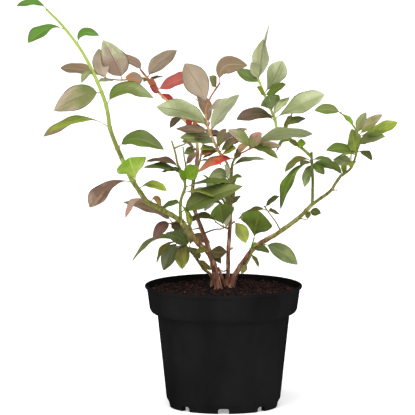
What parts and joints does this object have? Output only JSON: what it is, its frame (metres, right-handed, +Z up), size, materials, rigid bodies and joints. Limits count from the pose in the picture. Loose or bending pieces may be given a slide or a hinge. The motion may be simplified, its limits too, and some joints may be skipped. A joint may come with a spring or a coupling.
{
  "type": "blueberry bush in a pot",
  "caption": "Young potted blueberry bush with arching woody stems and sprays of green and plum tinted leaves, in a round collared nursery pot of soil.",
  "frame": {"origin": "middle of the pot's flat underside, on the surface that the pot stands on", "axes": "+Z up along the pot's axis, +X to the right of the bush seen from its front, +Y to its back"},
  "size_m": [0.4547, 0.2956, 0.5094],
  "materials": {
    "pot": "matte",
    "soil": "matte",
    "bark": "matte",
    "leaf_green": "satin",
    "leaf_plum": "satin"
  },
  "bodies": {
    "root": {"pot": "pot", "soil": "soil", "stem_left": "bark", "bough_left": "bark", "bough_centre_left": "bark", "stem_centre": "bark", "stem_right": "bark", "bough_right": "bark", "bough_right_upright": "bark", "bough_right_outer": "bark", "stem_low_left": "bark", "stem_back": "bark", "leaves_left_arch": "leaf_green", "leaves_left_heart": "leaf_green", "leaves_left_curled": "leaf_plum", "leaves_left_low": "leaf_plum", "leaves_left_middle": "leaf_green", "leaves_low_left": "leaf_green", "leaves_stem_left": "leaf_green", "leaves_centre_low": "leaf_green", "leaves_centre_middle": "leaf_green", "leaves_centre_right": "leaf_plum", "leaves_centre_top": "leaf_plum", "leaves_plum_middle": "leaf_plum", "leaves_plum_top": "leaf_plum", "leaves_right_top": "leaf_green", "leaves_right_whorl": "leaf_green", "leaves_right_outer": "leaf_green", "leaves_right_low": "leaf_green", "leaves_right_foot": "leaf_green", "leaves_right_hanging": "leaf_green", "leaves_right_fork": "leaf_green", "leaves_back": "leaf_green", "leaves_back_top": "leaf_plum"}
  },
  "joints": []
}
